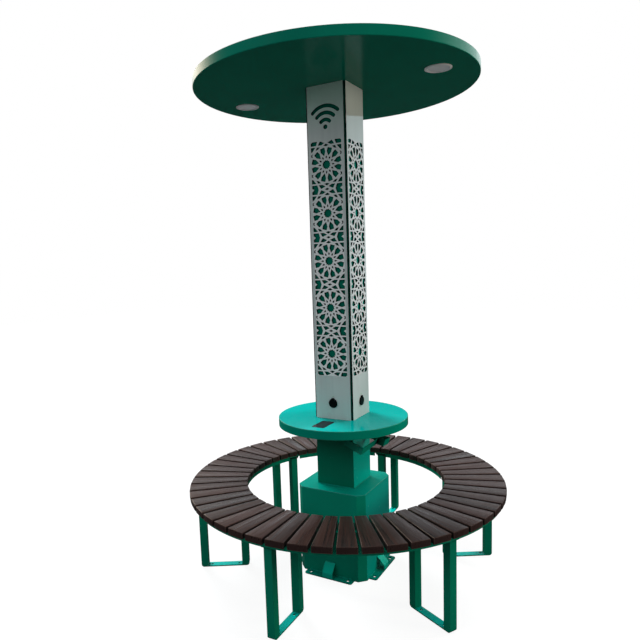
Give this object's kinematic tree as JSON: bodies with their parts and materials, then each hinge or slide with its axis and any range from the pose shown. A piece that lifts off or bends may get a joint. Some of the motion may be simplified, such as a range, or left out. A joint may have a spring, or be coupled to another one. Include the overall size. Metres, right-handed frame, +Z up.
{
  "type": "solar charging table",
  "caption": "Round table on a square lattice-clad column with a solar canopy, charging sockets, a wireless pad and a slatted ring bench.",
  "frame": {"origin": "on the ground at the column's axis", "axes": "+Z up along the column; -Y is the column face with the signal symbol and the charging pad; +X is the face to its right"},
  "size_m": [1.5976, 1.5982, 2.438],
  "materials": {
    "green_paint": "gloss",
    "table_paint": "gloss",
    "dark_steel": "satin",
    "zinc_steel": "satin",
    "panel_grey": "satin",
    "wood_composite": "satin",
    "black_plastic": "matte",
    "battery_case": "matte",
    "controller_case": "satin",
    "supply_case": "satin",
    "copper_coil": "satin",
    "led_green": "gloss",
    "back_sheet": "matte",
    "cell_blue": "gloss",
    "clear_glass": "gloss",
    "light_trim": "satin",
    "lens_white": "satin",
    "board_white": "matte"
  },
  "bodies": {
    "stand": {"base_box": "green_paint", "base_floor": "dark_steel", "base_lid": "green_paint", "foot_front": "green_paint", "foot_right": "green_paint", "foot_rear": "green_paint", "foot_left": "green_paint", "foot_straps": "green_paint", "battery": "battery_case", "charge_controller": "controller_case", "network_router": "black_plastic", "usb_supply": "supply_case", "lower_post": "green_paint", "post_flange": "dark_steel", "table_pan": "table_paint", "table_ribs": "dark_steel", "bag_hook": "green_paint", "charge_pad": "black_plastic", "charge_coil": "copper_coil", "core_foot_plate": "dark_steel", "core_tube": "green_paint", "panel_front": "panel_grey", "panel_right": "panel_grey", "panel_rear": "panel_grey", "panel_left": "panel_grey", "socket_bodies": "black_plastic", "led_dots": "led_green", "core_head_plate": "dark_steel", "canopy_pan": "green_paint", "canopy_head_plate": "dark_steel", "canopy_ribs": "dark_steel", "pv_backsheet": "back_sheet", "pv_cells": "cell_blue", "pv_glass": "clear_glass", "downlight_housings": "light_trim", "downlight_lenses": "lens_white", "downlight_boards": "board_white", "frame_bolts": "zinc_steel", "cable_conduit": "black_plastic", "ring_inner": "green_paint", "ring_outer": "green_paint", "leg_1": "green_paint", "leg_2": "green_paint", "leg_3": "green_paint", "leg_4": "green_paint", "leg_5": "green_paint", "leg_6": "green_paint", "leg_bolts": "zinc_steel", "slats_1": "wood_composite", "slats_2": "wood_composite", "slats_3": "wood_composite", "slats_4": "wood_composite", "slats_5": "wood_composite", "slat_screws": "zinc_steel"},
    "door": {"service_door": "green_paint"},
    "lock": {"door_lock": "zinc_steel"},
    "flap_front": {"cap_front": "black_plastic"},
    "flap_right": {"cap_right": "black_plastic"},
    "flap_rear": {"cap_rear": "black_plastic"},
    "flap_left": {"cap_left": "black_plastic"}
  },
  "joints": [
    {"name": "door_hinge", "type": "hinge", "parent": "stand", "child": "door", "pos_m": [0.152, 0.1916, 0.25], "axis": [0, 0, -1], "range_deg": [0, 110]},
    {"name": "lock_turn", "type": "hinge", "parent": "door", "child": "lock", "pos_m": [-0.108, 0.19, 0.25], "axis": [0, -1, 0], "range_deg": [0, 90]},
    {"name": "flap_front_hinge", "type": "hinge", "parent": "stand", "child": "flap_front", "pos_m": [0, -0.1112, 0.8968], "axis": [-1, 0, 0], "range_deg": [0, 105]},
    {"name": "flap_right_hinge", "type": "hinge", "parent": "stand", "child": "flap_right", "pos_m": [0.1112, 0, 0.8968], "axis": [0, -1, 0], "range_deg": [0, 105]},
    {"name": "flap_rear_hinge", "type": "hinge", "parent": "stand", "child": "flap_rear", "pos_m": [0, 0.1112, 0.8968], "axis": [1, 0, 0], "range_deg": [0, 105]},
    {"name": "flap_left_hinge", "type": "hinge", "parent": "stand", "child": "flap_left", "pos_m": [-0.1112, 0, 0.8968], "axis": [0, 1, 0], "range_deg": [0, 105]}
  ]
}
